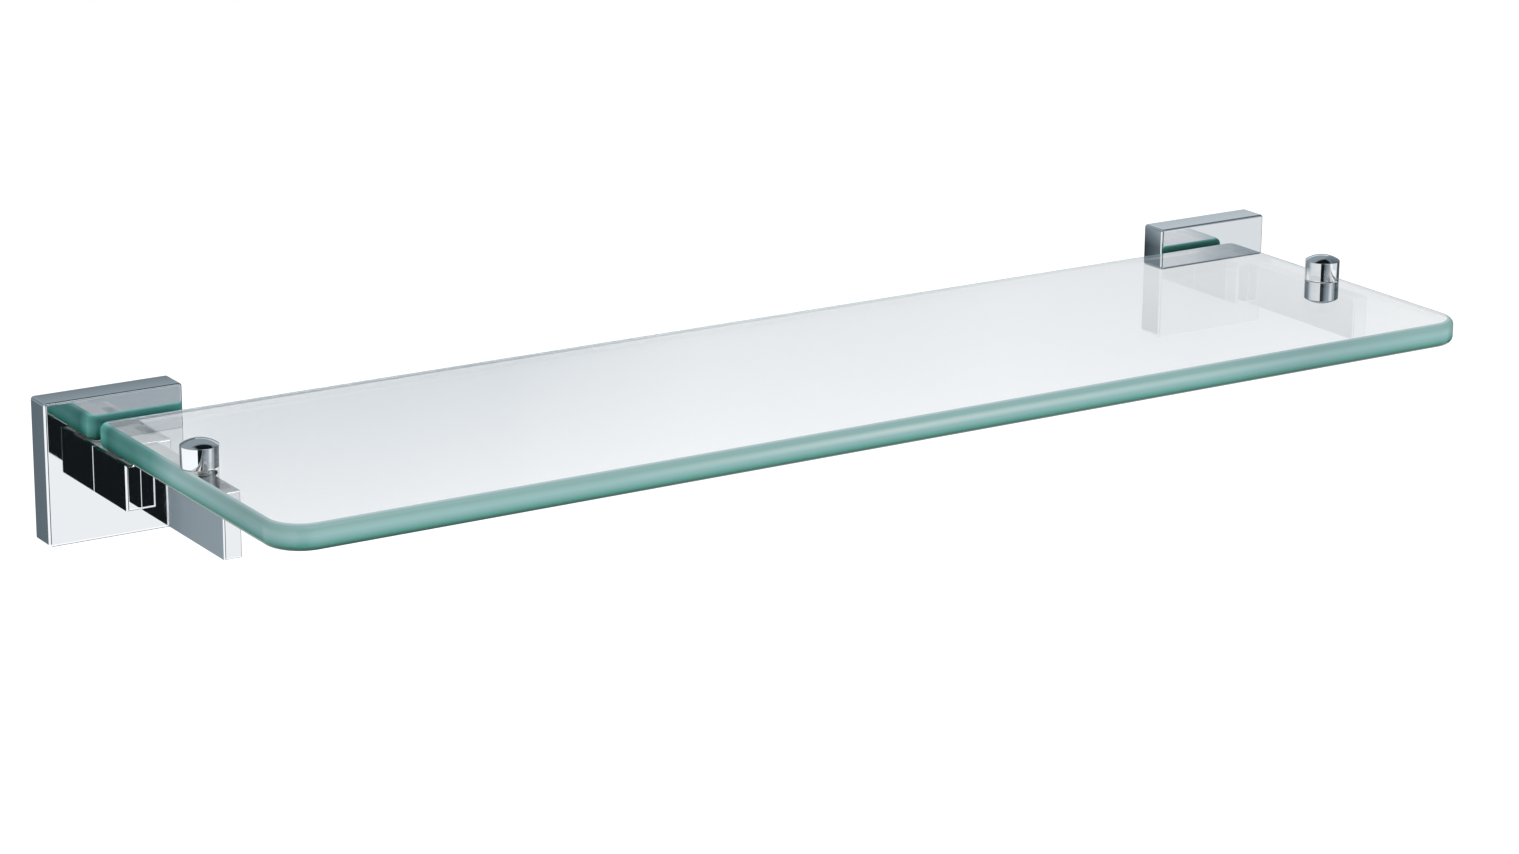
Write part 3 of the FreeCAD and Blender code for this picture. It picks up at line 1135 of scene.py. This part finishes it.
@dataclass(frozen=True)
class WallCards:
    """Small glowing grey cards just behind a rosette, painted reflections which its top and its left side mirror.

    Each pair of shades runs from the rear edge of the face to its front edge.
    """

    side: Side
    lens: Vector
    top: tuple
    side_high: tuple
    side_low: tuple
    fade: float = 8 * MM
    gap: float = 0.5 * MM

    def build(self) -> None:
        """Builds the cards exactly as large as the two faces mirror them."""
        low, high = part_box(f"{self.side.value}_flange")
        sight = (Vector((low.x, low.y, high.z)) - self.lens).normalized()
        wall = Vector((0, high.y + self.gap, 0))
        top = ((low.x, low.y), (high.x, low.y), (high.x, high.y), (low.x, high.y))
        self.card("top", [Vector((x, y, high.z)) for x, y in top],
                  Vector((sight.x, sight.y, -sight.z)), wall, Vector((0, 1, 0)),
                  (self.top[1], self.top[1], self.top[0], self.top[0]))
        mirrored = Vector((-sight.x, sight.y, sight.z))
        edge = Vector((low.x, low.y, 0)) + mirrored * ((wall.y - low.y) / mirrored.y)
        levels = [(low.z, self.side_low), (high.z - self.fade, self.side_low), (high.z, self.side_high)]
        for (foot, below), (head, above) in zip(levels, levels[1:]):
            strip = ((low.y, foot), (low.y, head), (high.y, head), (high.y, foot))
            self.card("left", [Vector((low.x, y, z)) for y, z in strip],
                      mirrored, edge, Vector((sight.y, -sight.x, 0)), (below[1], above[1], above[0], below[0]))

    def card(self, part: str, face: Sequence[Vector], way: Vector, point: Vector, normal: Vector,
             shades: Sequence[float]) -> None:
        """Builds the card that one face mirrors.

        Args:
            part: which face, for the card's name.
            face: corners of the face.
            way: direction in which the face sends the line of sight on.
            point: a point of the card's plane.
            normal: the normal of the card's plane.
            shades: shade at each corner.
        """
        corners = [p + way * ((point - p).dot(normal) / way.dot(normal)) for p in face]
        shaded = ShadedFaces()
        shaded.add(corners, shades)
        shaded.stage(f"{self.side.value}_card_{part}", SeenBy.MIRRORS)


def studio_sheets() -> list[Sheet]:
    """The roof, the black sheet that the caps' domes mirror, and a dark one that lower bevels mirror, all glowing
    painted reflections.

    Returns:
        The sheets, roof first.
    """
    return [
        Sheet("roof_grey", -1.9, 1.9, -1.9, 1.9, 2.2, ROOF_GREY),
        Sheet("roof_black", -0.58, 1.75, -0.52, 1.15, 2.18, 0.010, fade=0.36),
        Sheet("floor_dark", -0.10, 0.40, -0.05, 0.80, -0.86, 0.04),
    ]


def studio_panels() -> list[Panel]:
    """The glowing panels that paint reflections, low ones below the shelf's level and high ones above it.

    Returns:
        The panels, in the order they are built.
    """
    floor, bend, level, middle, roof = -0.9, -0.41, 0.03, 1.2, 2.2
    slot_low, slot_high = 0.38, 0.76
    sweep = ((19, 0.06), (16.5, 0.13), (5.6, 0.225), (-6, 0.38), (-14, 0.42), (-18.5, 0.46), (-20, 0.66), (-31, 0.93),
             (-36.5, 0.93), (-37.5, 0.48), (-43, 0.86), (-44.2, 0.80), (-45.2, 0.48), (-46.4, 0.36), (-50, 0.44),
             (-58, 0.40), (-62, 0.14))
    right_sweep = ((-62, 0.14), (-73, 0.08), (-96, 0.14), (-118, 0.24), (-126, 0.30))
    return [
        Panel("lens_dark", floor, roof, ((41, 0.012), (19, 0.012)), SeenBy.BOTH),
        Panel("front_low", floor, level, ((19, 0.05), (8, 0.75), (0, 1.04), (-40, 1.04))),
        Panel("front_through", floor, level, sweep, SeenBy.GLASS),
        Panel("front_high", level, slot_high, sweep),
        Panel("front_top", slot_high, roof, ((19, ROOF_GREY), (-62, ROOF_GREY))),
        Panel("right_high", level, roof, right_sweep),
        Panel("right_through", floor, level, right_sweep, SeenBy.GLASS),
        Panel("right_mid", bend, level, (
            (-40, 1.0), (-44, 0.88), (-52, 0.85), (-72, 0.90), (-80, 0.10), (-158, 0.10))),
        Panel("right_low", floor, bend, ((-40, 1.15), (-52, 1.15), (-72, 0.95), (-80, 0.10), (-158, 0.10))),
        Panel("back_low", floor, level, ((208, 0.03), (152, 0.03))),
        Panel("left_low", floor, level, ((151, 0.27), (147.5, 0.27), (147.2, 0.345), (146.3, 0.37), (140, 0.37))),
        Panel("left_high", level, slot_high, (
            (195, 0.16), (160, 0.20), (144, 0.26), (124, 0.69), (108, 0.88), (60, 0.95), (41, 0.95))),
        Panel("left_through", floor, level, ((140, 0.88), (41, 0.88)), SeenBy.GLASS),
        Panel("left_top", slot_high, roof, ((195, ROOF_GREY), (41, ROOF_GREY))),
        Panel("back_high", slot_high, roof, ((-126, ROOF_GREY), (-165, ROOF_GREY))),
        Panel("back_middle", level, slot_low, ((-126, ROOF_GREY), (-165, ROOF_GREY))),
        Panel("back_slot", slot_low, slot_high, (
            (-126, 0.90), (-130, 0.87), (-135, 0.82), (-140, 0.84), (-143, 0.80), (-148, 0.765), (-153.2, 0.60),
            (-158.5, 0.60), (-160.5, 0.60), (-165, 0.64))),
        Panel("back_through", level, middle, (
            (-152, 1.0), (-156.5, 0.50), (-160.3, 0.30), (-163, 1.0)), SeenBy.GLASS),
    ]


@dataclass
class StudioCamera:
    """The camera: a long lens, a little above the shelf and to its left."""

    place: tuple = (-0.8155, -1.3176, 0.4352)
    yaw_degrees: float = 32.729
    pitch_degrees: float = 16.580
    roll_degrees: float = 0.466
    lens_mm: float = 100.39
    sensor_mm: float = 36.0
    clip_start: float = 0.01

    def build(self) -> None:
        """Adds the camera and makes it the scene's own."""
        data = bpy.data.cameras.new("camera")
        data.lens = self.lens_mm
        data.sensor_width = self.sensor_mm
        data.clip_start = self.clip_start
        camera = bpy.data.objects.new("camera", data)
        camera.location = self.place
        turn = Matrix.Rotation(math.radians(-self.yaw_degrees), 4, "Z")
        tilt = Matrix.Rotation(math.radians(90 - self.pitch_degrees), 4, "X")
        roll = Matrix.Rotation(math.radians(self.roll_degrees), 4, "Z")
        camera.rotation_euler = (turn @ tilt @ roll).to_euler()
        bpy.context.scene.collection.objects.link(camera)
        bpy.context.scene.camera = camera


@dataclass
class Studio:
    """Plain white studio: floor, soft lamp, and the glowing panels that polished metal mirrors as painted
    reflections.
    """

    floor_drop: float = 0.9
    floor_size: float = 9.0
    floor_tint: tuple = (0.92, 0.92, 0.92)
    floor_glow: float = 0.35
    sky_tint: tuple = (0.95, 0.975, 1.0)
    sky_strength: float = 0.85
    lamp_place: tuple = (0.3, -1.6, 2.2)
    lamp_target: tuple = (0.0, -0.08, 0.0)
    lamp_side: float = 1.6
    lamp_watts: float = 18.0
    panels: list[Panel] = field(default_factory=studio_panels)
    sheets: list[Sheet] = field(default_factory=studio_sheets)
    camera: StudioCamera = field(default_factory=StudioCamera)

    def world(self) -> None:
        """A white room, and a plain level of light from it."""
        world = bpy.data.worlds.new("white_room")
        bpy.context.scene.world = world
        world.use_nodes = True
        graph = Graph(world.node_tree)
        light = graph.add("ShaderNodeBackground", {"Color": (*self.sky_tint, 1.0), "Strength": self.sky_strength})
        white = graph.add("ShaderNodeBackground", {"Color": (1.0, 1.0, 1.0, 1.0), "Strength": 1.0})
        mix = graph.add("ShaderNodeMixShader")
        output = graph.add("ShaderNodeOutputWorld")
        graph.join(graph.seen(), mix.inputs["Fac"])
        graph.join(light.outputs["Background"], mix.inputs[1])
        graph.join(white.outputs["Background"], mix.inputs[2])
        graph.join(mix.outputs["Shader"], output.inputs["Surface"])

    def floor(self) -> None:
        """A wide pale floor that shows white and keeps the shadow."""
        material, graph, shader = new_material("studio_floor", {
            "Base Color": (*self.floor_tint, 1.0), "Roughness": 0.9, "Emission Color": (1.0, 1.0, 1.0, 1.0)})
        graph.join(graph.math("MULTIPLY", graph.seen(), self.floor_glow), shader.inputs["Emission Strength"])
        bm = bmesh.new()
        half = self.floor_size / 2
        corners = [(-half, -half), (half, -half), (half, half), (-half, half)]
        bm.faces.new([bm.verts.new((x, y, -self.floor_drop)) for x, y in corners])
        floor = mesh_object("floor", bm, [material])

    def lamp(self) -> None:
        """Hangs the soft square lamp."""
        data = bpy.data.lights.new("key_lamp", "AREA")
        data.shape = "SQUARE"
        data.size = self.lamp_side
        data.energy = self.lamp_watts
        lamp = bpy.data.objects.new("key_lamp", data)
        lamp.location = self.lamp_place
        aim = Vector(self.lamp_target) - Vector(self.lamp_place)
        lamp.rotation_euler = aim.to_track_quat("-Z", "Y").to_euler()
        bpy.context.scene.collection.objects.link(lamp)

    def build(self) -> None:
        """Builds the whole studio."""
        self.world()
        self.floor()
        self.lamp()
        for piece in self.panels + self.sheets:
            piece.build()
        lens = Vector(self.camera.place)
        WallCards(Side.LEFT, lens, top=(0.26, 0.36), side_high=(0.165, 0.18), side_low=(0.165, 0.175)).build()
        WallCards(Side.RIGHT, lens, top=(0.57, 0.62), side_high=(0.26, 0.45), side_low=(0.048, 0.175)).build()
        log.info("studio ready with %d panels", len(self.panels))


def main() -> None:
    """Builds the shelf and the studio in order."""
    logging.basicConfig(level=logging.INFO, format="%(name)s: %(message)s")
    bpy.context.scene.view_settings.view_transform = "Standard"
    finishes = {finish: finish.value.material() for finish in Finish}
    glass = [GlassFace().material(), GlassEdge(*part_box("glass_shelf")).material(), GroundGlass().material()]
    for side in Side:
        Bracket(side).build(finishes)
    GlassBoard([upright(f"{side.value}_stud")[0] for side in Side]).build(glass)
    studio = Studio()
    studio.build()
    studio.camera.build()


if __name__ == "__main__":
    main()
